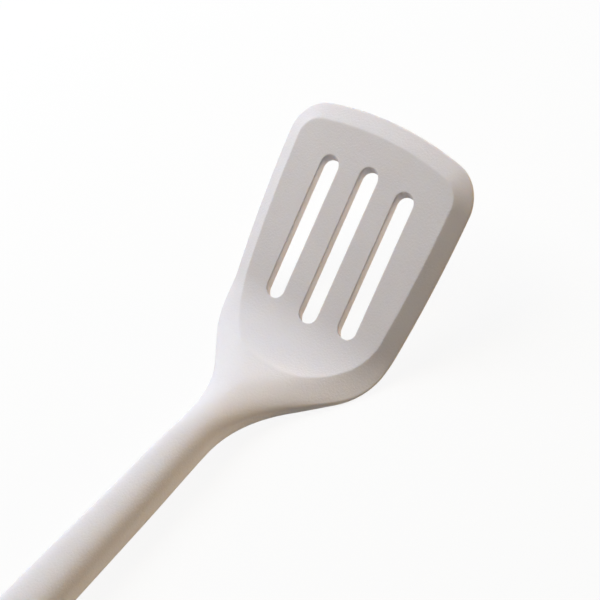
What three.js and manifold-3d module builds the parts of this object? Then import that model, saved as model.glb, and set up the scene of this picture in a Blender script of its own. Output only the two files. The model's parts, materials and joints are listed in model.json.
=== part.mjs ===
// Slotted silicone turner: a one-piece silicone skin moulded over a steel blade insert and a steel rod.
//
// The blade has its own frame, in millimetres: x runs to the tip, y to the left and z up, with zero at
// the middle of the centre slot on the flat upper field. Lengths along the tool are measured as u on the
// unrolled centre line, which is x on the flat blade and goes negative through the heel into the handle.

import * as THREE from 'three';
import { mergeVertices } from 'three/addons/utils/BufferGeometryUtils.js';
import Module from 'manifold-3d';

const DEGREE = Math.PI / 180;

// Blade outline, at the rim
const TIP_X = 50.1;
const TIP_RADIUS = 152;
const CORNER_RADIUS = 16;
const BLADE_HALF_WIDTH = 44.6;
const WIDEST_X = 35;
const SIDE_RADIUS = 520;

// Blade section: a flat field with a bevel that thins to a round-nosed rim
const BLADE_THICKNESS = 3.6;
const RIM_THICKNESS = 0.8;
const BEVEL_WIDTH = 6.7;

// Three slots, cored along a draw direction that leans towards the tip
const SLOT_WIDTH = 8.3;
const SLOT_PITCH = 18.6;
const MIDDLE_SLOT_LENGTH = 63.5;
const SIDE_SLOT_LENGTH = 58.8;
const SLOT_DRAW_ANGLE = 26.8 * DEGREE;

// Scoop: where the field curves up to meet the neck
const SCOOP_START_X = -25.5;
const SCOOP_RADIUS = 28;

// Centre line: heel bend, straight neck, counter-bend, straight handle
const BEND_START_X = -26.7;
const BEND_RADIUS = 34;
const NECK_ANGLE = 43.1 * DEGREE;
const NECK_LENGTH = 33;
const COUNTER_BEND_RADIUS = 120;
const HANDLE_ANGLE = 35.2 * DEGREE;
const HANDLE_LENGTH = 195;

// Plan of the shoulders: side, shoulder arc, straight run, neck fillet, handle
const SHOULDER_START_U = -34.7;
const SHOULDER_RADIUS = 34;
const RUN_ANGLE = 42.5 * DEGREE;
const NECK_FILLET_RADIUS = 45;
const NECK_HALF_WIDTH = 8.45;
const GRIP_HALF_WIDTH = 12;

// Sections of the neck and the handle. Above the edge, an eased bevel levels off at a crown and turns into
// an oval. Below the edge, the rim deepens into a side wall, which turns into the oval further back.
const HEEL_SLOPE = 0.342;
const NECK_CROWN = 5.1;
const CROWN_SHARPNESS = 6;
const CROWN_START_U = -44.7;
const CROWN_LENGTH = 48;
const WALL_START_U = -38;
const WALL_LENGTH = 60;
const WALL_DROP = 6;
const WALL_CORNER = 1.8;
const BELLY_START_U = -66;
const BELLY_LENGTH = 60;
const NECK_HALF_THICKNESS = 6.8;
const GRIP_HALF_THICKNESS = 8.5;

// Hang hole
const HANG_HOLE_DIAMETER = 8;
const HANG_HOLE_FROM_END = 14;
const HANG_HOLE_LIP = 1.8;

// Steel blade insert
const PLATE_THICKNESS = 1;
const PLATE_INSET = 8;
const WINDOW_MARGIN = 2;
const ANCHOR_HOLE_DIAMETER = 4;
const ANCHOR_HOLE_PITCH = 20;
const HEEL_ANCHOR_PITCH = 24;
const HEEL_ANCHOR_X = -42;
const TANG_WIDTH = 10;
const TANG_LENGTH = 32;

// Steel handle rod
const ROD_DIAMETER = 5;
const ROD_FLAT_WIDTH = 8.6;
const ROD_FLAT_THICKNESS = 2.2;
const LAP_LENGTH = 12;
const SWAGE_LENGTH = 8;
const FLAT_SQUARENESS = 6;
const EYE_WALL = 3.7;
const EYE_THICKNESS = 2.4;
const EYE_RECESS = 0.1;

// Gap between the steel and the skin, and between the two steel pieces
const CLEARANCE = 0.3;

// Fineness of the facets
const RING_POINTS = 48;
const ROD_POINTS = 16;
const NECK_STEP = 2.8;
const HANDLE_STEP = 17;
const END_STEPS = 6;
const END_TURN = 86 * DEGREE;
const NOSE_STEP = 30 * DEGREE;
const ARC_POINTS = 10;

const MOUTH_STEP = 18 * DEGREE;

// How far a cutting shape reaches past what it cuts
const OVERCUT = 10;

// Distance under which points are one, the least climb of a bevel, and the halvings that find the tilt
const WELD_DISTANCE = 1e-4;
const LEAST_CLIMB = 1e-6;
const TILT_HALVINGS = 40;

// The blade block meets the rest of the skin a little in front of the heel bend
const JOIN_LEAD = 2.5;
const JOIN_FLARE = 0.5;

// Sizes worked out from those above
const BEVEL_SLOPE = (BLADE_THICKNESS - RIM_THICKNESS) / BEVEL_WIDTH;
const RIM_Z = RIM_THICKNESS / 2 - BLADE_THICKNESS;
const BEND_LENGTH = BEND_RADIUS * NECK_ANGLE;
const COUNTER_BEND_LENGTH = COUNTER_BEND_RADIUS * (NECK_ANGLE - HANDLE_ANGLE);
const BEND_END_U = BEND_START_X - BEND_LENGTH;
const HANDLE_START_U = BEND_END_U - NECK_LENGTH - COUNTER_BEND_LENGTH;
const HANDLE_END_U = HANDLE_START_U - HANDLE_LENGTH;
const HANG_HOLE_U = HANDLE_END_U + HANG_HOLE_FROM_END;
const HANG_HOLE_RADIUS = HANG_HOLE_DIAMETER / 2;
const JOIN_X = BEND_START_X + JOIN_LEAD;
const WINDOW_WIDTH = SLOT_WIDTH + 2 * WINDOW_MARGIN;
const PLATE_LEVEL = -BLADE_THICKNESS / 2 - RIM_Z;
const TANG_END_U = BEND_END_U - TANG_LENGTH;
const SLOTS = [
  { y: -SLOT_PITCH, length: SIDE_SLOT_LENGTH },
  { y: 0, length: MIDDLE_SLOT_LENGTH },
  { y: SLOT_PITCH, length: SIDE_SLOT_LENGTH },
];

const wasm = await Module();
wasm.setup();

// Turns a closed geometry into a solid that can be joined and cut
function solidOf(geometry) {
  const bare = geometry.clone();
  bare.deleteAttribute('normal');
  bare.deleteAttribute('uv');
  const merged = mergeVertices(bare, WELD_DISTANCE);
  return new wasm.Manifold(new wasm.Mesh({
    numProp: 3,
    vertProperties: new Float32Array(merged.attributes.position.array),
    triVerts: new Uint32Array(merged.index.array),
  }));
}

// Turns a solid back into a named mesh
function meshOf(name, solid, material) {
  const { vertProperties, triVerts } = solid.getMesh();
  const geometry = new THREE.BufferGeometry();
  geometry.setAttribute('position', new THREE.BufferAttribute(new Float32Array(vertProperties), 3));
  geometry.setIndex(new THREE.BufferAttribute(new Uint32Array(triVerts), 1));
  geometry.computeVertexNormals();
  const mesh = new THREE.Mesh(geometry, material);
  mesh.name = name;
  return mesh;
}

// Joins rings of equally many points into a closed skin, with a fan over each end. The rings run
// anticlockwise when seen from the end of the loft.
function loft(rings) {
  const count = rings[0].length;
  const last = rings.length - 1;
  const points = rings.flat();
  const indices = [];
  for (let r = 0; r < last; r += 1) {
    for (let i = 0; i < count; i += 1) {
      const a = r * count + i;
      const b = r * count + ((i + 1) % count);
      indices.push(a, b, b + count, a, b + count, a + count);
    }
  }
  for (const [ring, turn] of [[0, 0], [last, 1]]) {
    const middle = new THREE.Vector3();
    rings[ring].forEach((point) => middle.addScaledVector(point, 1 / count));
    const centre = points.push(middle) - 1;
    for (let i = 0; i < count; i += 1) {
      const pair = [ring * count + i, ring * count + ((i + 1) % count)];
      indices.push(centre, pair[1 - turn], pair[turn]);
    }
  }
  const geometry = new THREE.BufferGeometry().setFromPoints(points);
  geometry.setIndex(indices);
  return solidOf(geometry);
}

// An upright prism of a shape drawn in x and y
function prism(shape, low, high) {
  const settings = { depth: high - low, bevelEnabled: false, curveSegments: ARC_POINTS };
  return new THREE.ExtrudeGeometry(shape, settings).translate(0, 0, low);
}

// A slot shape with round ends, along x
function stadium(length, width) {
  const radius = width / 2;
  const reach = length / 2 - radius;
  const shape = new THREE.Shape();
  shape.absarc(reach, 0, radius, -Math.PI / 2, Math.PI / 2);
  shape.absarc(-reach, 0, radius, Math.PI / 2, 1.5 * Math.PI);
  shape.closePath();
  return shape;
}

// Evenly spaced places from one end to the other, both ends included
function spaced(from, to, step) {
  const count = Math.max(1, Math.ceil(Math.abs(to - from) / step));
  return Array.from({ length: count + 1 }, (_, i) => from + ((to - from) * i) / count);
}

// The centre line behind the flat blade, as stretches that each turn upwards by an angle
const STRETCHES = [
  { length: BEND_LENGTH, turn: NECK_ANGLE },
  { length: NECK_LENGTH, turn: 0 },
  { length: COUNTER_BEND_LENGTH, turn: HANDLE_ANGLE - NECK_ANGLE },
  { length: HANDLE_LENGTH, turn: 0 },
];

// The centre line's place and its slope at u
function centreLine(u) {
  if (u >= BEND_START_X) {
    return { x: u, z: RIM_Z, slope: 0 };
  }
  let left = BEND_START_X - u;
  const here = { x: BEND_START_X, z: RIM_Z, slope: 0 };
  for (const { length, turn } of STRETCHES) {
    const part = Math.min(left, length);
    const swing = (turn * part) / length;
    const chord = swing === 0 ? part : (part * Math.sin(swing / 2)) / (swing / 2);
    here.x -= chord * Math.cos(here.slope + swing / 2);
    here.z += chord * Math.sin(here.slope + swing / 2);
    here.slope += swing;
    left -= part;
  }
  return here;
}

// The point at u along the centre line, y across and n above it
function beside(u, y, n) {
  const { x, z, slope } = centreLine(u);
  return new THREE.Vector3(x + n * Math.sin(slope), y, z + n * Math.cos(slope));
}

// Half of the plan's width at u, from the blade's side to the handle's round end
function halfWidth(u) {
  const sideAt = (place) => Math.sqrt(SIDE_RADIUS ** 2 - (place - WIDEST_X) ** 2);
  const side = (place) => BLADE_HALF_WIDTH - SIDE_RADIUS + sideAt(place);
  if (u >= SHOULDER_START_U) {
    return side(u);
  }
  const startSine = (WIDEST_X - SHOULDER_START_U) / SIDE_RADIUS;
  const startCosine = Math.sqrt(1 - startSine ** 2);
  const shoulderEnd = SHOULDER_START_U - SHOULDER_RADIUS * (Math.sin(RUN_ANGLE) - startSine);
  const shoulderHalf = side(SHOULDER_START_U) - SHOULDER_RADIUS * (startCosine - Math.cos(RUN_ANGLE));
  if (u >= shoulderEnd) {
    const sine = startSine + (SHOULDER_START_U - u) / SHOULDER_RADIUS;
    return side(SHOULDER_START_U) - SHOULDER_RADIUS * (startCosine - Math.sqrt(1 - sine ** 2));
  }
  const filletHalf = NECK_HALF_WIDTH + NECK_FILLET_RADIUS * (1 - Math.cos(RUN_ANGLE));
  const filletStart = shoulderEnd - (shoulderHalf - filletHalf) / Math.tan(RUN_ANGLE);
  if (u >= filletStart) {
    return shoulderHalf - (shoulderEnd - u) * Math.tan(RUN_ANGLE);
  }
  const sine = Math.sin(RUN_ANGLE) - (filletStart - u) / NECK_FILLET_RADIUS;
  if (sine > 0) {
    return NECK_HALF_WIDTH + NECK_FILLET_RADIUS * (1 - Math.sqrt(1 - sine ** 2));
  }
  const neckEnd = filletStart - NECK_FILLET_RADIUS * Math.sin(RUN_ANGLE);
  return NECK_HALF_WIDTH + (GRIP_HALF_WIDTH - NECK_HALF_WIDTH) * gripShare(u, neckEnd);
}

// How far the handle has swelled from the neck to the grip
function gripShare(u, from) {
  const share = THREE.MathUtils.clamp((from - u) / (from - HANG_HOLE_U), 0, 1);
  return Math.sin((share * Math.PI) / 2);
}

// Half of the handle's oval thickness at u
function halfThickness(u) {
  const growth = GRIP_HALF_THICKNESS - NECK_HALF_THICKNESS;
  return NECK_HALF_THICKNESS + growth * gripShare(u, CROWN_START_U - CROWN_LENGTH);
}

// The handle's rounded end: shares of the full width and thickness at u
function endShares(u) {
  const past = THREE.MathUtils.clamp(1 - (u - HANDLE_END_U) / GRIP_HALF_WIDTH, 0, 1);
  return { width: Math.sqrt(1 - past ** 2), thickness: Math.sqrt(1 - past ** 4) };
}

// Height of a rounded edge, a distance in from it
function rounded(inward, width, height) {
  const rest = Math.max(0, 1 - inward / width);
  return height * Math.sqrt(1 - rest ** 2);
}

// Height of the rim's round nose, a distance in from the edge
function nose(inward) {
  return rounded(inward, RIM_THICKNESS / 2, RIM_THICKNESS / 2);
}

// The bevel climbing from the rim at a slope and levelling off at the crown
function crownedBevel(inward, slope) {
  const climb = Math.max(inward * slope, LEAST_CLIMB);
  return (climb ** -CROWN_SHARPNESS + NECK_CROWN ** -CROWN_SHARPNESS) ** (-1 / CROWN_SHARPNESS);
}

// Section of the outer skin at u, as y and n pairs; spare widens and deepens it on every side
function skinSection(u, spare = 0) {
  const { lerp, smoothstep } = THREE.MathUtils;
  const end = endShares(u);
  const half = halfWidth(u) * end.width;
  const thick = halfThickness(u) * end.thickness;
  const slope = lerp(BEVEL_SLOPE, HEEL_SLOPE, smoothstep(-u, -SCOOP_START_X, -CROWN_START_U));
  const crowned = smoothstep(CROWN_START_U - u, 0, CROWN_LENGTH);
  const belly = smoothstep(BELLY_START_U - u, 0, BELLY_LENGTH);
  const wall = smoothstep(WALL_START_U - u, 0, WALL_LENGTH);
  const wallCorner = RIM_THICKNESS / 2 + WALL_CORNER * wall;
  const wallDepth = RIM_THICKNESS / 2 + WALL_DROP * wall;
  return Array.from({ length: RING_POINTS }, (_, i) => {
    const angle = (2 * Math.PI * i) / RING_POINTS;
    const y = half * Math.cos(angle);
    const inward = Math.max(0, half - Math.abs(y));
    const round = thick * Math.abs(Math.sin(angle));
    const deeper = spare * Math.abs(Math.sin(angle));
    const top = lerp(nose(inward) + crownedBevel(inward, slope), round, crowned) + deeper;
    const bottom = lerp(rounded(inward, wallCorner, wallDepth), round, belly) + deeper;
    return { y: y + spare * Math.cos(angle), n: Math.sin(angle) > 0 ? top : -bottom };
  });
}

// Body of the heel, neck and handle, oversize in front of the join with the blade block
function backBody() {
  const spare = BLADE_HALF_WIDTH - halfWidth(JOIN_X) + OVERCUT;
  const stations = [
    { u: TIP_X + OVERCUT, at: JOIN_X, spare },
    { u: JOIN_X + JOIN_FLARE, at: JOIN_X, spare },
    ...spaced(JOIN_X, HANDLE_START_U, NECK_STEP).map((u) => ({ u, at: u })),
  ];
  const places = spaced(HANDLE_START_U, HANDLE_END_U + GRIP_HALF_WIDTH, HANDLE_STEP).slice(1);
  for (let i = 1; i <= END_STEPS; i += 1) {
    const past = Math.sin((i / END_STEPS) * END_TURN);
    places.push(HANDLE_END_U + GRIP_HALF_WIDTH * (1 - past));
  }
  stations.push(...places.map((u) => ({ u, at: u })));
  const ringAt = ({ u, at, spare: extra }) => skinSection(at, extra).map(({ y, n }) => beside(u, y, n));
  return loft(stations.map(ringAt).reverse());
}

// Outline of the blade from a straight rear edge, set in from the rim by an inset
function bladeOutline(inset, rearX) {
  const tipCentre = new THREE.Vector2(TIP_X - TIP_RADIUS, 0);
  const sideCentre = new THREE.Vector2(WIDEST_X, SIDE_RADIUS - BLADE_HALF_WIDTH);
  const tipReach = TIP_RADIUS - CORNER_RADIUS;
  const sideReach = SIDE_RADIUS - CORNER_RADIUS;
  const between = sideCentre.clone().sub(tipCentre);
  const apart = between.length();
  const along = (tipReach ** 2 - sideReach ** 2 + apart ** 2) / (2 * apart);
  const across = Math.sqrt(tipReach ** 2 - along ** 2);
  const unit = between.divideScalar(apart);
  const cornerX = tipCentre.x + along * unit.x + across * unit.y;
  const cornerY = along * unit.y - across * unit.x;
  const fromSide = Math.atan2(cornerY - sideCentre.y, cornerX - sideCentre.x);
  const fromTip = Math.atan2(cornerY, cornerX - tipCentre.x);
  const fromRear = -Math.PI / 2 - Math.asin((WIDEST_X - rearX) / (SIDE_RADIUS - inset));
  const corner = Math.max(CORNER_RADIUS - inset, RIM_THICKNESS);
  const arcs = [
    [sideCentre.x, sideCentre.y, SIDE_RADIUS - inset, fromRear, fromSide],
    [cornerX, cornerY, corner, fromSide, fromTip],
    [tipCentre.x, 0, TIP_RADIUS - inset, fromTip, -fromTip],
    [cornerX, -cornerY, corner, -fromTip, -fromSide],
    [sideCentre.x, -sideCentre.y, SIDE_RADIUS - inset, -fromSide, -fromRear],
  ];
  const last = arcs.length - 1;
  return arcs.flatMap(([x, y, radius, from, to], i) => {
    const points = new THREE.EllipseCurve(x, y, radius, radius, from, to).getPoints(ARC_POINTS);
    return i === last ? points : points.slice(0, -1);
  });
}

// Everything behind a plane across the blade
function behind(x) {
  const reach = 2 * (BEND_LENGTH + NECK_LENGTH + COUNTER_BEND_LENGTH + HANDLE_LENGTH);
  return solidOf(new THREE.BoxGeometry(reach, reach, reach).translate(x - reach / 2, 0, 0));
}

// Blade block: round-nosed rim, then the bevel rising past the field
function bladeBlock() {
  const radius = RIM_THICKNESS / 2;
  const under = spaced(-Math.PI / 2, 0, NOSE_STEP).map((turn) => radius * (1 - Math.cos(turn)));
  const over = spaced(NOSE_STEP, Math.PI / 2, NOSE_STEP).map((turn) => radius * (1 - Math.cos(turn)));
  over.push(BEVEL_WIDTH + radius);
  const levels = [
    ...under.map((inset) => ({ inset, z: RIM_Z - nose(inset) })),
    ...over.map((inset) => ({ inset, z: RIM_Z + nose(inset) + inset * BEVEL_SLOPE })),
  ];
  const rearX = JOIN_X - OVERCUT / 2;
  const ringAt = ({ inset, z }) => bladeOutline(inset, rearX).map(({ x, y }) => new THREE.Vector3(x, y, z));
  return loft(levels.map(ringAt));
}

// What is cleared away above the field: flat over the blade, a round scoop at the heel
function fieldCutter() {
  const top = SCOOP_RADIUS + OVERCUT;
  const shape = new THREE.Shape();
  shape.moveTo(TIP_X + OVERCUT, top);
  shape.lineTo(SCOOP_START_X - SCOOP_RADIUS, top);
  shape.absarc(SCOOP_START_X, SCOOP_RADIUS, SCOOP_RADIUS, Math.PI, 1.5 * Math.PI);
  shape.lineTo(TIP_X + OVERCUT, 0);
  const reach = BLADE_HALF_WIDTH + OVERCUT;
  const settings = { depth: 2 * reach, bevelEnabled: false, curveSegments: 2 * ARC_POINTS };
  const geometry = new THREE.ExtrudeGeometry(shape, settings);
  return solidOf(geometry.translate(0, 0, -reach).rotateX(Math.PI / 2));
}

// A slot-shaped cutter on the blade, leaning along the draw direction
function slotCutter({ y, length }, grow) {
  const shape = stadium(length + 2 * grow, SLOT_WIDTH + 2 * grow);
  const lean = new THREE.Matrix4().makeShear(0, 0, 0, 0, Math.tan(SLOT_DRAW_ANGLE), 0);
  const geometry = prism(shape, -BLADE_THICKNESS - OVERCUT, OVERCUT);
  return solidOf(geometry.applyMatrix4(lean).translate(0, y, 0));
}

// Turns a solid of revolution about +Y into one about the handle's normal at the hang hole
function atHangHole(geometry) {
  const { x, z, slope } = centreLine(HANG_HOLE_U);
  return solidOf(geometry.rotateX(Math.PI / 2).rotateY(slope).translate(x, 0, z));
}

// Hang hole with rounded mouths on both faces
function hangHoleCutter() {
  const face = halfThickness(HANG_HOLE_U);
  const mouth = HANG_HOLE_RADIUS + HANG_HOLE_LIP;
  const upper = spaced(0, Math.PI / 2, MOUTH_STEP).map((turn) => new THREE.Vector2(
    mouth - HANG_HOLE_LIP * Math.cos(turn),
    face - HANG_HOLE_LIP * (1 - Math.sin(turn)),
  ));
  upper.push(new THREE.Vector2(mouth, face + OVERCUT));
  upper.push(new THREE.Vector2(0, face + OVERCUT));
  const lower = upper.map((point) => new THREE.Vector2(point.x, -point.y)).reverse();
  return atHangHole(new THREE.LatheGeometry([...lower, ...upper], 2 * ROD_POINTS));
}

// Half of the insert's width at u: set in from the outline, down to the tang
function plateHalf(u) {
  return Math.max(TANG_WIDTH / 2, halfWidth(u) - PLATE_INSET);
}

// A straight hole across the insert
function anchorCutter(x, y, grow) {
  const radius = ANCHOR_HOLE_DIAMETER / 2 - grow;
  const height = 2 * (BEND_RADIUS + OVERCUT);
  const geometry = new THREE.CylinderGeometry(radius, radius, height, ROD_POINTS);
  return solidOf(geometry.rotateX(Math.PI / 2).translate(x, y, 0));
}

// Steel blade insert, grown on every side by a clearance when it cuts the skin
function bladeInsert(grow) {
  const half = PLATE_THICKNESS / 2 + grow;
  const ringAt = ({ u, at, spare }) => {
    const wide = plateHalf(at) + grow + spare;
    const corners = [[wide, half], [-wide, half], [-wide, -half], [wide, -half]];
    return corners.map(([y, n]) => beside(u, y, PLATE_LEVEL + n));
  };
  const stations = [
    { u: TIP_X + OVERCUT, at: WIDEST_X, spare: OVERCUT },
    { u: JOIN_X + JOIN_FLARE, at: WIDEST_X, spare: OVERCUT },
    ...spaced(JOIN_X, TANG_END_U - grow, NECK_STEP).map((u) => ({ u, at: u, spare: 0 })),
  ];
  const sheet = loft(stations.map(ringAt).reverse());
  const outline = new THREE.Shape(bladeOutline(PLATE_INSET - grow, JOIN_X - OVERCUT / 2));
  const front = solidOf(prism(outline, -BLADE_THICKNESS - OVERCUT, OVERCUT));
  let insert = sheet.intersect(front.add(behind(JOIN_X)));
  for (const slot of SLOTS) {
    insert = insert.subtract(slotCutter(slot, WINDOW_MARGIN - grow));
  }
  const sideY = (SLOT_PITCH + WINDOW_WIDTH / 2 + plateHalf(0)) / 2;
  for (const side of [-1, 1]) {
    for (const place of [-1, 0, 1]) {
      insert = insert.subtract(anchorCutter(place * ANCHOR_HOLE_PITCH, side * sideY, grow));
    }
    insert = insert.subtract(anchorCutter(HEEL_ANCHOR_X, (side * HEEL_ANCHOR_PITCH) / 2, grow));
  }
  return insert;
}

// A ring of the rod: a circle, or a rounded rectangle where the rod is pressed flat
function rodRing(u, { halfWide, halfThick, level, squareness }, grow) {
  const bulge = (value) => Math.sign(value) * Math.abs(value) ** (2 / squareness);
  return Array.from({ length: ROD_POINTS }, (_, i) => {
    const angle = (2 * Math.PI * i) / ROD_POINTS;
    const y = (halfWide + grow) * bulge(Math.cos(angle));
    const n = level + (halfThick + grow) * bulge(Math.sin(angle));
    return beside(u, y, n);
  });
}

// Steel handle rod with a flat lap under the tang and a flat eye round the hang hole
function handleRod(grow) {
  const lap = {
    halfWide: ROD_FLAT_WIDTH / 2,
    halfThick: ROD_FLAT_THICKNESS / 2,
    level: PLATE_LEVEL - PLATE_THICKNESS / 2 - CLEARANCE - ROD_FLAT_THICKNESS / 2,
    squareness: FLAT_SQUARENESS,
  };
  const round = { halfWide: ROD_DIAMETER / 2, halfThick: ROD_DIAMETER / 2, level: 0, squareness: 2 };
  const stem = { ...lap, halfThick: EYE_THICKNESS / 2, level: 0 };
  const holeRadius = HANG_HOLE_RADIUS + EYE_RECESS;
  const eyeRadius = holeRadius + EYE_WALL;
  const lapEnd = TANG_END_U - 2 * CLEARANCE;
  const swageEnd = lapEnd - SWAGE_LENGTH;
  const eyeFront = HANG_HOLE_U + eyeRadius;
  const rings = [
    rodRing(TANG_END_U + LAP_LENGTH + grow, lap, grow),
    rodRing(lapEnd, lap, grow),
    ...spaced(swageEnd, HANDLE_START_U, NECK_STEP).map((u) => rodRing(u, round, grow)),
    rodRing(eyeFront + SWAGE_LENGTH, round, grow),
    rodRing(eyeFront, stem, grow),
    rodRing(HANG_HOLE_U, stem, grow),
  ];
  const thick = EYE_THICKNESS + 2 * grow;
  const discRadius = eyeRadius + grow;
  const boreRadius = holeRadius - grow;
  const disc = new THREE.CylinderGeometry(discRadius, discRadius, thick, 2 * ROD_POINTS);
  const bore = new THREE.CylinderGeometry(boreRadius, boreRadius, thick + OVERCUT, 2 * ROD_POINTS);
  return loft(rings.reverse()).add(atHangHole(disc)).subtract(atHangHole(bore));
}

// Silicone skin round the steel, open to it only at the eye in the hang hole
function siliconeSkin() {
  let skin = backBody().intersect(bladeBlock().add(behind(JOIN_X)));
  skin = skin.subtract(fieldCutter());
  for (const slot of SLOTS) {
    skin = skin.subtract(slotCutter(slot, 0));
  }
  const core = bladeInsert(CLEARANCE).add(handleRod(CLEARANCE));
  return skin.subtract(hangHoleCutter()).subtract(core);
}

// The tilt at which the heel and the end of the handle both touch a table
function restingTilt() {
  const undersideAt = (u) => {
    const lowest = Math.min(...skinSection(u).map(({ n }) => n));
    return beside(u, 0, lowest);
  };
  const front = spaced(BEND_START_X, HANDLE_START_U, 1).map(undersideAt);
  const back = spaced(HANDLE_START_U, HANDLE_END_U, 1).map(undersideAt);
  const lowestOf = (points, tilt) => Math.min(
    ...points.map(({ x, z }) => x * Math.sin(tilt) + z * Math.cos(tilt)),
  );
  let low = 0;
  let high = Math.PI / 2;
  for (let i = 0; i < TILT_HALVINGS; i += 1) {
    const tilt = (low + high) / 2;
    if (lowestOf(front, tilt) < lowestOf(back, tilt)) {
      low = tilt;
    } else {
      high = tilt;
    }
  }
  return low;
}

const silicone = new THREE.MeshStandardMaterial({ color: 0xd8d4d2, roughness: 0.55, metalness: 0 });
const steel = new THREE.MeshStandardMaterial({ color: 0xb4b6b8, roughness: 0.35, metalness: 1 });

// The turner lies on its heel and the end of its handle, with the blade's tip raised towards +X
const turner = new THREE.Group();
turner.add(meshOf('silicone_skin', siliconeSkin(), silicone));
turner.add(meshOf('blade_insert', bladeInsert(0), steel));
turner.add(meshOf('handle_rod', handleRod(0), steel));
turner.rotation.y = -restingTilt();
turner.updateMatrixWorld(true);
const box = new THREE.Box3().setFromObject(turner, true);
const middle = box.getCenter(new THREE.Vector3());
turner.position.set(-middle.x, -middle.y, -box.min.z);

export default turner;
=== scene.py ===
"""Slotted silicone turner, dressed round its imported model.

Lengths are in millimetres in the blade's own frame: x runs to the tip, y to the left and z up, with zero
at the middle of the centre slot on the flat field. Along the tool they are measured as u on the unrolled
centre line, which is x on the flat blade, with n as the height above that line. Each piece is a signed
distance in u, y and n, negative inside, which is turned into a fine mesh in the row's frame.
"""

import json
import math

import bpy
import numpy as np
from mathutils import Matrix, Vector


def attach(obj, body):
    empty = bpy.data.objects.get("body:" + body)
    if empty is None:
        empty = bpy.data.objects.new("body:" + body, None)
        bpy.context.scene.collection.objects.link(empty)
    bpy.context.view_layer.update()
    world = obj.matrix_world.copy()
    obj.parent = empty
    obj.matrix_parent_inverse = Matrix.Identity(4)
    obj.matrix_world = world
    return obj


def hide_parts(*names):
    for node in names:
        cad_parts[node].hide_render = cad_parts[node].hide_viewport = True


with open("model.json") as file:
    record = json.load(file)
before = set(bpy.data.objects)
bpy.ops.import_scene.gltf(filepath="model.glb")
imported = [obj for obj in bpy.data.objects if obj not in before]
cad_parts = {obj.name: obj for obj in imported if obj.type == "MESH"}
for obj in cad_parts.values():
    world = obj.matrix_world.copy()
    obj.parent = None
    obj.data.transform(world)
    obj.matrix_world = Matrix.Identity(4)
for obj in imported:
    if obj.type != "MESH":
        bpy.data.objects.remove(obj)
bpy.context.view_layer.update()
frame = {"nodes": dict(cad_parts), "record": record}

MILLIMETRE = 0.001

# Blade outline, at the rim
TIP_X = 50.1
TIP_RADIUS = 152.0
CORNER_RADIUS = 16.0
BLADE_HALF_WIDTH = 44.6
WIDEST_X = 35.0
SIDE_RADIUS = 520.0

# Blade section: a flat field with a bevel that thins to a round-nosed rim
BLADE_THICKNESS = 3.6
RIM_THICKNESS = 0.8
BEVEL_WIDTH = 6.7

# Three slots, cored along a draw direction that leans towards the tip
SLOT_WIDTH = 8.3
SLOT_PITCH = 18.6
MIDDLE_SLOT_LENGTH = 63.5
SIDE_SLOT_LENGTH = 58.8
SLOT_DRAW_ANGLE = math.radians(26.8)

# Scoop: where the field curves up to meet the neck
SCOOP_START_X = -25.5
SCOOP_RADIUS = 28.0

# Centre line: heel bend, straight neck, counter-bend, straight handle
BEND_START_X = -26.7
BEND_RADIUS = 34.0
NECK_ANGLE = math.radians(43.1)
NECK_LENGTH = 33.0
COUNTER_BEND_RADIUS = 120.0
HANDLE_ANGLE = math.radians(35.2)
HANDLE_LENGTH = 195.0

# Plan of the shoulders: side, shoulder arc, straight run, neck fillet, handle
SHOULDER_START_U = -34.7
SHOULDER_RADIUS = 34.0
RUN_ANGLE = math.radians(42.5)
NECK_FILLET_RADIUS = 45.0
NECK_HALF_WIDTH = 8.45
GRIP_HALF_WIDTH = 12.0

# Top of the heel and neck: the bevel climbs to a crown, which turns into the handle's oval
HEEL_SLOPE = 0.342
NECK_CROWN = 5.1
CROWN_SHARPNESS = 6
CROWN_START_U = -44.7
CROWN_LENGTH = 48.0

# Under the crown: a side wall that deepens and levels off, and the belly that rounds it into the oval
WALL_START_U = -38.0
WALL_LENGTH = 60.0
WALL_DROP = 6.0
WALL_DEPTH = 3.2
WALL_SHARPNESS = 4
BELLY_START_U = -60.0
BELLY_LENGTH = 46.0

# How far the neck's section is raised from the centre line
NECK_LIFT = 0.5
LIFT_START_U = -52.0
LIFT_END_U = -130.0
LIFT_LENGTH = 30.0

# The handle's oval, and how its top turns squarer behind the neck
NECK_HALF_THICKNESS = 6.8
GRIP_HALF_THICKNESS = 8.5
OVAL_POWER = 2.0
SQUARE_POWER = 2.35
SQUARE_START_U = -72.0
SQUARE_LENGTH = 45.0

# Hang hole, and the groove in its wall that shows the steel eye
HANG_HOLE_RADIUS = 4.0
HANG_HOLE_FROM_END = 14.0
GROOVE_RADIUS = 5.2
GROOVE_HALF_WIDTH = 1.35

# How far each moulded edge is softened
RIM_BLEND = 0.6
NECK_BLEND = 2.5
SIDE_BLEND = 4.0
CREASE_BLEND = 0.12
SLOT_BLEND = 0.2
HANG_HOLE_BLEND = 2.0

# How far the skin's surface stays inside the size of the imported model
SKIN_INSET = 0.07

# Spacing of the mesh, and how it is evened out
BLADE_STEP = 0.5
EDGE_STEP = 0.28
HANDLE_STEP = 0.9
THIN_STEP = 0.22
THICK_STEP = 0.5
MARGIN = 1.2
EDGE_REACH = 1.0
SETTLE_ROUNDS = 4
LANDING_STEPS = 3
PROBE = 0.02
LEAST_STEEPNESS = 0.1
TINY = 1e-6

# Place of the mount on the blade's underside
MOUNT_X = 40.0

# Camera in the blade's frame: where it stands, what it looks at, how far the blade leans to the right
CAMERA_FROM = (74.36, -330.19, 493.13)
CAMERA_AT = (-25.04, 5.86, 0.0)
CAMERA_LEAN = math.radians(23.91)
SENSOR = 36.0
LENS = 96.0

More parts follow.
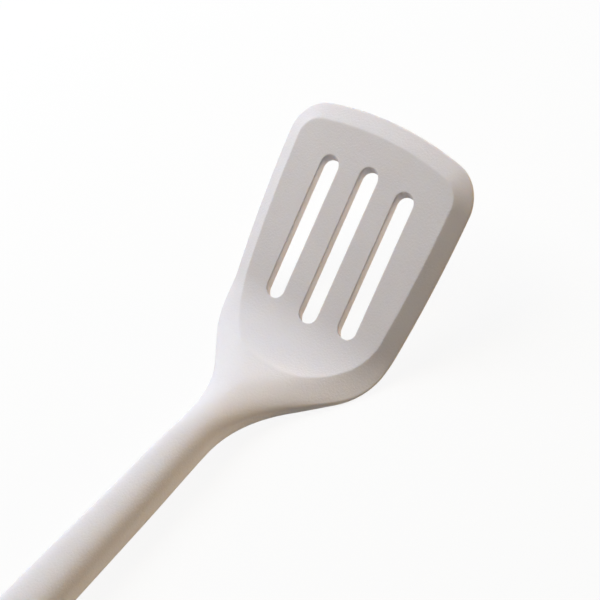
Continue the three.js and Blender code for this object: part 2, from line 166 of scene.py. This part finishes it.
# Room: how far the floor runs in metres, how white it looks, and the dim light from all round
FLOOR_REACH = 6.0
FLOOR_WHITENESS = 0.91
ROOM_COLOUR = (1.0, 0.82, 0.64, 1.0)
ROOM_STRENGTH = 0.04

# Lamps: name, direction from the blade in the row's frame, distance and size in metres, watts, colour
LAMPS = (
    ("window", (0.12, 0.78, 0.61), 1.0, 0.7, 7.9, (0.22, 0.53, 1.0)),
    ("ceiling", (0.06, 0.66, 0.75), 1.0, 0.7, 9.0, (1.0, 0.79, 0.44)),
    ("bounce", (0.65, -0.75, 0.14), 3.2, 0.77, 36.0, (1.0, 0.76, 0.45)),
    ("front", (0.6, 0.4, 0.7), 1.0, 0.7, 2.4, (0.75, 0.86, 1.0)),
)

# Steel solids that stay as packed: node, material, tone, and how the streaks' pattern is stretched
STEELS = (
    ("blade_insert", "steel_sheet", 0.6, (0.08, 1.0, 1.0)),
    ("handle_rod", "steel_rod", 0.58, (0.06, 1.0, 1.0)),
)

# Sizes worked out from those above
BEVEL_SLOPE = (BLADE_THICKNESS - RIM_THICKNESS) / BEVEL_WIDTH
RIM_Z = RIM_THICKNESS / 2 - BLADE_THICKNESS
BEND_LENGTH = BEND_RADIUS * NECK_ANGLE
COUNTER_BEND_LENGTH = COUNTER_BEND_RADIUS * (NECK_ANGLE - HANDLE_ANGLE)
HANDLE_START_U = BEND_START_X - BEND_LENGTH - NECK_LENGTH - COUNTER_BEND_LENGTH
HANDLE_END_U = HANDLE_START_U - HANDLE_LENGTH
HANG_HOLE_U = HANDLE_END_U + HANG_HOLE_FROM_END
SLOTS = (
    (-SLOT_PITCH, SIDE_SLOT_LENGTH),
    (0.0, MIDDLE_SLOT_LENGTH),
    (SLOT_PITCH, SIDE_SLOT_LENGTH),
)
STRETCHES = (
    (BEND_LENGTH, NECK_ANGLE),
    (NECK_LENGTH, 0.0),
    (COUNTER_BEND_LENGTH, HANDLE_ANGLE - NECK_ANGLE),
    (HANDLE_LENGTH, 0.0),
)


def blade_to_row():
    """The blade's frame in millimetres to the row's frame in metres, from the mount on the underside."""
    mount = frame["record"]["mounts"][0]
    tilt = math.atan2(mount["axis"][0], -mount["axis"][2])
    turn = Matrix.Rotation(-tilt, 4, "Y") @ Matrix.Scale(MILLIMETRE, 4)
    foot = turn @ Vector((MOUNT_X, 0.0, -BLADE_THICKNESS))
    return Matrix.Translation(Vector(mount["pos_m"]) - foot) @ turn


PLACE = blade_to_row()


def soft_max(a, b, blend):
    """The larger of two distances, with the edge where they meet rounded off."""
    share = np.maximum(blend - np.abs(a - b), 0.0) / blend
    return np.maximum(a, b) + share * share * blend / 4


def smooth_step(share):
    share = np.clip(share, 0.0, 1.0)
    return share * share * (3 - 2 * share)


def centre_line(u):
    """The centre line's x, z and slope at u."""
    left = np.maximum(BEND_START_X - u, 0.0)
    x = np.maximum(u, BEND_START_X) - np.maximum(left - sum(length for length, _ in STRETCHES), 0.0)
    z = np.full_like(x, RIM_Z)
    slope = np.zeros_like(x)
    for length, turn in STRETCHES:
        part = np.clip(left, 0.0, length)
        swing = turn * part / length
        chord = part * np.sinc(swing / 2 / math.pi)
        x = x - chord * np.cos(slope + swing / 2)
        z = z + chord * np.sin(slope + swing / 2)
        slope = slope + swing
        left = left - part
    return x, z, slope


def grip_share(u, start):
    """How far the handle has swelled from the neck to the grip."""
    return np.sin(np.clip((start - u) / (start - HANG_HOLE_U), 0.0, 1.0) * math.pi / 2)


def half_width(u):
    """Half of the plan's width at u, behind the blade's corners."""
    def side(place):
        return BLADE_HALF_WIDTH - SIDE_RADIUS + np.sqrt(SIDE_RADIUS ** 2 - (place - WIDEST_X) ** 2)

    start_sine = (WIDEST_X - SHOULDER_START_U) / SIDE_RADIUS
    start_cosine = math.sqrt(1 - start_sine ** 2)
    start_half = side(SHOULDER_START_U)
    shoulder_end = SHOULDER_START_U - SHOULDER_RADIUS * (math.sin(RUN_ANGLE) - start_sine)
    shoulder_half = start_half - SHOULDER_RADIUS * (start_cosine - math.cos(RUN_ANGLE))
    fillet_half = NECK_HALF_WIDTH + NECK_FILLET_RADIUS * (1 - math.cos(RUN_ANGLE))
    fillet_start = shoulder_end - (shoulder_half - fillet_half) / math.tan(RUN_ANGLE)
    neck_end = fillet_start - NECK_FILLET_RADIUS * math.sin(RUN_ANGLE)

    sine = np.clip(start_sine + (SHOULDER_START_U - u) / SHOULDER_RADIUS, 0.0, 1.0)
    shoulder = start_half - SHOULDER_RADIUS * (start_cosine - np.sqrt(1 - sine ** 2))
    run = shoulder_half - (shoulder_end - u) * math.tan(RUN_ANGLE)
    sine = np.clip(math.sin(RUN_ANGLE) - (fillet_start - u) / NECK_FILLET_RADIUS, 0.0, 1.0)
    fillet = NECK_HALF_WIDTH + NECK_FILLET_RADIUS * (1 - np.sqrt(1 - sine ** 2))
    grip = NECK_HALF_WIDTH + (GRIP_HALF_WIDTH - NECK_HALF_WIDTH) * grip_share(u, neck_end)
    return np.select(
        [u >= SHOULDER_START_U, u >= shoulder_end, u >= fillet_start, u >= neck_end],
        [side(np.maximum(u, SHOULDER_START_U)), shoulder, run, fillet],
        grip,
    )


def outside_plan(u, across):
    """Distance outside the plan's outline; across is the distance from the middle plane."""
    tip_centre = TIP_X - TIP_RADIUS
    side_y = BLADE_HALF_WIDTH - SIDE_RADIUS
    tip_reach = TIP_RADIUS - CORNER_RADIUS
    side_reach = SIDE_RADIUS - CORNER_RADIUS
    apart = math.hypot(WIDEST_X - tip_centre, side_y)
    along = (tip_reach ** 2 - side_reach ** 2 + apart ** 2) / (2 * apart)
    beside = math.sqrt(tip_reach ** 2 - along ** 2)
    unit_x = (WIDEST_X - tip_centre) / apart
    unit_y = side_y / apart
    corner_x = tip_centre + along * unit_x - beside * unit_y
    corner_y = along * unit_y + beside * unit_x

    side = np.hypot(u - WIDEST_X, across - side_y) - SIDE_RADIUS
    tip = np.hypot(u - tip_centre, across) - TIP_RADIUS
    past_side = (u - corner_x) * (corner_y - side_y) - (across - corner_y) * (corner_x - WIDEST_X) > 0
    past_tip = (across - corner_y) * (corner_x - tip_centre) - (u - corner_x) * corner_y > 0
    corner = np.hypot(u - corner_x, across - corner_y) - CORNER_RADIUS
    blade = np.where(past_side & past_tip, corner, np.maximum(side, tip))
    return np.where(u > SHOULDER_START_U, blade, across - half_width(u))


def levelled(rise, limit, sharpness):
    """A rise that levels off below a limit."""
    return rise / (1 + (rise / limit) ** sharpness) ** (1 / sharpness)


def half_thickness(u):
    """Half of the handle's oval thickness at u."""
    growth = GRIP_HALF_THICKNESS - NECK_HALF_THICKNESS
    return NECK_HALF_THICKNESS + growth * grip_share(u, CROWN_START_U - CROWN_LENGTH)


def flat_section(u, y, n):
    """Distance to the blade's section: level underside, bevel, and a rim that thickens into a side wall."""
    outside = outside_plan(u, np.abs(y))
    wall = smooth_step((WALL_START_U - u) / WALL_LENGTH)
    drop = levelled(WALL_DROP * wall, WALL_DEPTH, WALL_SHARPNESS)
    heel = smooth_step((SCOOP_START_X - u) / (SCOOP_START_X - CROWN_START_U))
    slope = BEVEL_SLOPE + (HEEL_SLOPE - BEVEL_SLOPE) * heel
    climb = -outside * slope
    climb = np.where(climb > 0, levelled(np.maximum(climb, TINY), NECK_CROWN, CROWN_SHARPNESS), climb)
    above = (n - RIM_THICKNESS / 2 - climb) / np.hypot(1.0, slope)
    below = -n - RIM_THICKNESS / 2 - drop
    return soft_max(np.maximum(above, below), outside, RIM_BLEND + (NECK_BLEND - RIM_BLEND) * wall)


def oval_section(u, y, n):
    """Distance to the handle's oval section, squarer on top behind the neck and round at the end."""
    half = half_width(u)
    past = np.maximum(1 - (u - HANDLE_END_U) / GRIP_HALF_WIDTH, 0.0)
    thick = half_thickness(u) * np.sqrt(1 + past * past)
    squarer = smooth_step((SQUARE_START_U - u) / SQUARE_LENGTH) * (n > 0)
    power = OVAL_POWER + (SQUARE_POWER - OVAL_POWER) * squarer
    across = np.abs(y) / half
    upward = np.abs(n) / thick
    ring = np.maximum((across ** power + upward ** power) ** (1 / power), TINY)
    reach = np.hypot(ring, past)
    lean = np.hypot((across / ring) ** (power - 1) / half, (upward / ring) ** (power - 1) / thick)
    steep = np.hypot(ring * lean, past / GRIP_HALF_WIDTH) / reach
    return (reach - 1) / np.maximum(steep, TINY)


def silicone_skin(u, y, n):
    """Signed distance to the moulded skin."""
    line_x, line_z, slope = centre_line(u)
    x = line_x + n * np.sin(slope)
    z = line_z + n * np.cos(slope)
    crowned = smooth_step((CROWN_START_U - u) / CROWN_LENGTH)
    belly = smooth_step((BELLY_START_U - u) / BELLY_LENGTH)
    oval = belly + (crowned - belly) * smooth_step(n / SIDE_BLEND + 0.5)
    lift = smooth_step((LIFT_START_U - u) / LIFT_LENGTH) * smooth_step((u - LIFT_END_U) / LIFT_LENGTH)
    height = n - NECK_LIFT * lift
    body = flat_section(u, y, height) * (1 - oval) + oval_section(u, y, height) * oval

    behind = np.maximum(SCOOP_START_X - x, 0.0)
    scoop = SCOOP_RADIUS - np.hypot(behind, z - SCOOP_RADIUS)
    field = np.where(z < SCOOP_RADIUS, np.where(behind > 0, scoop, z), SCOOP_RADIUS - behind)
    body = soft_max(body, field, CREASE_BLEND)

    leaning = x - z * math.tan(SLOT_DRAW_ANGLE)
    for slot_y, length in SLOTS:
        past_end = np.maximum(np.abs(leaning) - (length - SLOT_WIDTH) / 2, 0.0)
        body = soft_max(body, SLOT_WIDTH / 2 - np.hypot(past_end, y - slot_y), SLOT_BLEND)

    from_hole = np.hypot(u - HANG_HOLE_U, y)
    body = soft_max(body, HANG_HOLE_RADIUS - from_hole, HANG_HOLE_BLEND)
    groove = np.minimum(GROOVE_RADIUS - from_hole, GROOVE_HALF_WIDTH - np.abs(n))
    return np.maximum(body, groove) + SKIN_INSET


def graded(start, end, step, closer):
    """Places from start past end, a step apart, or less inside spans given as (from, to, step)."""
    places = [start]
    while places[-1] < end:
        here = places[-1]
        places.append(here + min([step] + [less for low, high, less in closer if low <= here < high]))
    return np.array(places)


def grid_surface(distance, axes):
    """One point in each grid cell that the surface crosses, and the quads that join them."""
    values = distance(*np.ix_(*axes))
    inside = values < 0
    cells = np.array(values.shape) - 1
    strides = np.array((cells[1] * cells[2], cells[2], 1))
    quads = []
    crossings = []
    for axis in range(3):
        step = np.eye(3, dtype=int)[axis]
        first = np.argwhere(np.diff(inside, axis=axis))
        here = values[tuple(first.T)]
        there = values[tuple((first + step).T)]
        point = np.stack([axes[k][first[:, k]] for k in range(3)], axis=1)
        gap = axes[axis][first[:, axis] + 1] - axes[axis][first[:, axis]]
        point[:, axis] += gap * here / (here - there)
        across, along = np.eye(3, dtype=int)[[(axis + 1) % 3, (axis + 2) % 3]]
        ring = [first - across - along, first - along, first, first - across]
        quad = np.stack([cell @ strides for cell in ring], axis=1)
        quad[here > 0] = quad[here > 0][:, ::-1]
        quads.append(quad)
        crossings.append(np.repeat(point, 4, axis=0))
    quads = np.concatenate(quads)
    crossings = np.concatenate(crossings)
    used, corners = np.unique(quads, return_inverse=True)
    corners = corners.reshape(-1)
    count = np.bincount(corners)
    points = np.stack([np.bincount(corners, crossings[:, k]) / count for k in range(3)], axis=1)
    return points, corners.reshape(-1, 4)


def landed(distance, points):
    """The points moved straight onto the surface."""
    for _ in range(LANDING_STEPS):
        value = distance(*points.T)
        slope = np.empty_like(points)
        for k in range(3):
            ahead = points.copy()
            back = points.copy()
            ahead[:, k] += PROBE
            back[:, k] -= PROBE
            slope[:, k] = (distance(*ahead.T) - distance(*back.T)) / (2 * PROBE)
        steep = np.maximum((slope ** 2).sum(axis=1), LEAST_STEEPNESS)
        move = np.clip(value / steep, -THIN_STEP, THIN_STEP)
        points = points - move[:, None] * slope
    return points


def evened(distance, points, quads):
    """The points drawn towards the middle of their neighbours, and kept on the surface."""
    corners = quads.reshape(-1)
    count = np.bincount(corners)
    for _ in range(SETTLE_ROUNDS):
        middles = np.repeat(points[quads].mean(axis=1), 4, axis=0)
        drawn = np.stack([np.bincount(corners, middles[:, k]) / count for k in range(3)], axis=1)
        points = landed(distance, (points + drawn) / 2)
    return points


def piece_from(name, distance, axes, material):
    """A fine mesh of a signed distance, set into the row's frame."""
    points, quads = grid_surface(distance, axes)
    points = evened(distance, landed(distance, points), quads)
    x, z, slope = centre_line(points[:, 0])
    height = points[:, 2]
    spots = np.stack([x + height * np.sin(slope), points[:, 1], z + height * np.cos(slope)], axis=1)
    place = np.array(PLACE)
    spots = spots @ place[:3, :3].T + place[:3, 3]
    mesh = bpy.data.meshes.new(name)
    mesh.from_pydata(spots.tolist(), [], quads.tolist())
    mesh.shade_smooth()
    mesh.materials.append(material)
    piece = bpy.data.objects.new(name, mesh)
    bpy.context.scene.collection.objects.link(piece)
    return piece


def add_node(material, kind, **settings):
    """A shader node with its named inputs or properties set."""
    node = material.node_tree.nodes.new(kind)
    for name, value in settings.items():
        socket = node.inputs.get(name.replace("_", " ").title())
        if socket is None:
            setattr(node, name, value)
        else:
            socket.default_value = value
    return node


def silicone_material():
    """Satin off-white silicone: soft translucence, a faint mould grain and slightly uneven gloss."""
    material = bpy.data.materials.new("silicone")
    material.use_nodes = True
    link = material.node_tree.links.new
    surface = material.node_tree.nodes["Principled BSDF"]
    surface.inputs["IOR"].default_value = 1.41
    surface.inputs["Specular IOR Level"].default_value = 0.25
    surface.inputs["Subsurface Weight"].default_value = 0.25
    surface.inputs["Subsurface Radius"].default_value = (1.0, 0.7, 0.45)
    surface.inputs["Subsurface Scale"].default_value = 0.0015

    where = add_node(material, "ShaderNodeTexCoord").outputs["Object"]
    cloud = add_node(material, "ShaderNodeTexNoise", scale=45.0, detail=3.0, roughness=0.55)
    tone = add_node(material, "ShaderNodeValToRGB")
    tone.color_ramp.elements[0].position = 0.3
    tone.color_ramp.elements[0].color = (0.765, 0.722, 0.728, 1.0)
    tone.color_ramp.elements[1].position = 0.7
    tone.color_ramp.elements[1].color = (0.79, 0.749, 0.756, 1.0)
    link(where, cloud.inputs["Vector"])
    link(cloud.outputs["Fac"], tone.inputs["Fac"])
    link(tone.outputs["Color"], surface.inputs["Base Color"])

    patch = add_node(material, "ShaderNodeTexNoise", scale=140.0, detail=4.0, roughness=0.6)
    gloss = add_node(material, "ShaderNodeMapRange", to_min=0.56, to_max=0.72)
    link(where, patch.inputs["Vector"])
    link(patch.outputs["Fac"], gloss.inputs["Value"])
    link(gloss.outputs["Result"], surface.inputs["Roughness"])

    grain = add_node(material, "ShaderNodeTexNoise", scale=1200.0, detail=3.0, roughness=0.6)
    bump = add_node(material, "ShaderNodeBump", strength=0.8, distance=0.00015)
    link(where, grain.inputs["Vector"])
    link(grain.outputs["Fac"], bump.inputs["Height"])
    link(bump.outputs["Normal"], surface.inputs["Normal"])
    return material


def steel_material(name, tone, stretch):
    """Bright steel with drawn or rolled streaks; stretch shortens the streaks' pattern along each axis."""
    material = bpy.data.materials.new(name)
    material.use_nodes = True
    link = material.node_tree.links.new
    surface = material.node_tree.nodes["Principled BSDF"]
    surface.inputs["Metallic"].default_value = 1.0
    where = add_node(material, "ShaderNodeTexCoord").outputs["Object"]
    along = add_node(material, "ShaderNodeMapping", scale=stretch)
    streak = add_node(material, "ShaderNodeTexNoise", scale=900.0, detail=4.0, roughness=0.6)
    shade = add_node(material, "ShaderNodeValToRGB")
    shade.color_ramp.elements[0].color = (tone * 0.88, tone * 0.88, tone * 0.9, 1.0)
    shade.color_ramp.elements[1].color = (tone, tone, tone * 1.01, 1.0)
    gloss = add_node(material, "ShaderNodeMapRange", to_min=0.24, to_max=0.42)
    bump = add_node(material, "ShaderNodeBump", strength=0.2, distance=0.00003)
    link(where, along.inputs["Vector"])
    link(along.outputs["Vector"], streak.inputs["Vector"])
    link(streak.outputs["Fac"], shade.inputs["Fac"])
    link(streak.outputs["Fac"], gloss.inputs["Value"])
    link(streak.outputs["Fac"], bump.inputs["Height"])
    link(shade.outputs["Color"], surface.inputs["Base Color"])
    link(gloss.outputs["Result"], surface.inputs["Roughness"])
    link(bump.outputs["Normal"], surface.inputs["Normal"])
    return material


def backdrop_share(tree):
    """One where a ray comes from the camera or from a gloss or glass that shows the background."""
    path = tree.nodes.new("ShaderNodeLightPath")
    total = path.outputs["Is Camera Ray"]
    for name in ("Is Glossy Ray", "Is Transmission Ray"):
        add = tree.nodes.new("ShaderNodeMath")
        add.use_clamp = True
        tree.links.new(total, add.inputs[0])
        tree.links.new(path.outputs[name], add.inputs[1])
        total = add.outputs[0]
    return total


def make_floor():
    """A white floor that keeps a faint shadow."""
    mesh = bpy.data.meshes.new("floor")
    corners = [(x * FLOOR_REACH, y * FLOOR_REACH, 0) for x, y in ((-1, -1), (1, -1), (1, 1), (-1, 1))]
    mesh.from_pydata(corners, [], [(0, 1, 2, 3)])
    floor = bpy.data.objects.new("floor", mesh)
    bpy.context.scene.collection.objects.link(floor)
    material = bpy.data.materials.new("floor")
    material.use_nodes = True
    tree = material.node_tree
    tree.nodes.remove(tree.nodes["Principled BSDF"])
    paper = add_node(material, "ShaderNodeBsdfDiffuse", color=(0.85, 0.84, 0.82, 1.0))
    glow = add_node(material, "ShaderNodeEmission", strength=1.0)
    share = add_node(material, "ShaderNodeMath", operation="MULTIPLY")
    share.inputs[1].default_value = FLOOR_WHITENESS
    mix = tree.nodes.new("ShaderNodeMixShader")
    tree.links.new(backdrop_share(tree), share.inputs[0])
    tree.links.new(share.outputs[0], mix.inputs["Fac"])
    tree.links.new(paper.outputs[0], mix.inputs[1])
    tree.links.new(glow.outputs[0], mix.inputs[2])
    tree.links.new(mix.outputs[0], tree.nodes["Material Output"].inputs["Surface"])
    mesh.materials.append(material)
    return floor


def make_world():
    """A dim warm room that shows as white."""
    world = bpy.data.worlds.new("room")
    bpy.context.scene.world = world
    world.use_nodes = True
    tree = world.node_tree
    room = tree.nodes["Background"]
    room.inputs["Color"].default_value = ROOM_COLOUR
    room.inputs["Strength"].default_value = ROOM_STRENGTH
    white = tree.nodes.new("ShaderNodeBackground")
    white.inputs["Color"].default_value = (1.0, 1.0, 1.0, 1.0)
    mix = tree.nodes.new("ShaderNodeMixShader")
    tree.links.new(backdrop_share(tree), mix.inputs["Fac"])
    tree.links.new(room.outputs[0], mix.inputs[1])
    tree.links.new(white.outputs[0], mix.inputs[2])
    tree.links.new(mix.outputs[0], tree.nodes["World Output"].inputs["Surface"])


def softbox(name, direction, distance, size, power, colour):
    """A square lamp that shines on the blade's middle from a direction in the row's frame."""
    middle = PLACE @ Vector((0.0, 0.0, 0.0))
    outward = Vector(direction).normalized()
    lamp = bpy.data.lights.new(name, "AREA")
    lamp.size = size
    lamp.energy = power
    lamp.color = colour
    holder = bpy.data.objects.new(name, lamp)
    holder.location = middle + outward * distance
    holder.rotation_euler = outward.to_track_quat("Z", "Y").to_euler()
    bpy.context.scene.collection.objects.link(holder)
    return holder


def make_camera():
    """The camera at the photograph's viewing angle."""
    stand = PLACE @ Vector(CAMERA_FROM)
    back = (stand - PLACE @ Vector(CAMERA_AT)).normalized()
    tipward = (PLACE.to_3x3() @ Vector((1.0, 0.0, 0.0))).normalized()
    upright = (tipward - back * tipward.dot(back)).normalized()
    up = Matrix.Rotation(CAMERA_LEAN, 3, back) @ upright
    right = up.cross(back)
    data = bpy.data.cameras.new("camera")
    data.sensor_width = SENSOR
    data.lens = LENS
    camera = bpy.data.objects.new("camera", data)
    camera.matrix_world = Matrix.Translation(stand) @ Matrix((right, up, back)).transposed().to_4x4()
    bpy.context.scene.collection.objects.link(camera)
    bpy.context.scene.camera = camera


slot_end = MIDDLE_SLOT_LENGTH / 2 + EDGE_REACH
slot_end_span = (MIDDLE_SLOT_LENGTH - SIDE_SLOT_LENGTH) / 2 + SLOT_WIDTH
along_tool = graded(HANDLE_END_U - MARGIN, TIP_X + MARGIN, HANDLE_STEP, (
    (HANDLE_END_U - MARGIN, HANDLE_END_U + 2 * HANG_HOLE_FROM_END, BLADE_STEP),
    (HANDLE_START_U, TIP_X + MARGIN, BLADE_STEP),
    (-slot_end - EDGE_REACH, slot_end_span - slot_end, EDGE_STEP),
    (slot_end - slot_end_span, slot_end, EDGE_STEP),
    (TIP_X - CORNER_RADIUS / 2, TIP_X + MARGIN, EDGE_STEP),
))
slot_edges = [abs(y + side * SLOT_WIDTH / 2) for y, _ in SLOTS for side in (-1, 1)]
edge_spans = [(edge - EDGE_REACH, edge + EDGE_REACH, EDGE_STEP) for edge in slot_edges]
one_side = graded(0.0, BLADE_HALF_WIDTH + MARGIN, BLADE_STEP, edge_spans)
across_tool = np.concatenate([-one_side[:0:-1], one_side])
lowest = -GRIP_HALF_THICKNESS - MARGIN
above_tool = graded(lowest, -lowest, THICK_STEP, ((-MARGIN, BLADE_THICKNESS, THIN_STEP),))

skin = piece_from("skin", silicone_skin, (along_tool, across_tool, above_tool), silicone_material())
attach(skin, "root")
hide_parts("silicone_skin")

for node_name, steel_name, tone, stretch in STEELS:
    node = frame["nodes"][node_name]
    node.data.materials.clear()
    node.data.materials.append(steel_material(steel_name, tone, stretch))

make_floor()
make_world()
for lamp in LAMPS:
    softbox(*lamp)
make_camera()
bpy.context.scene.view_settings.view_transform = "Standard"
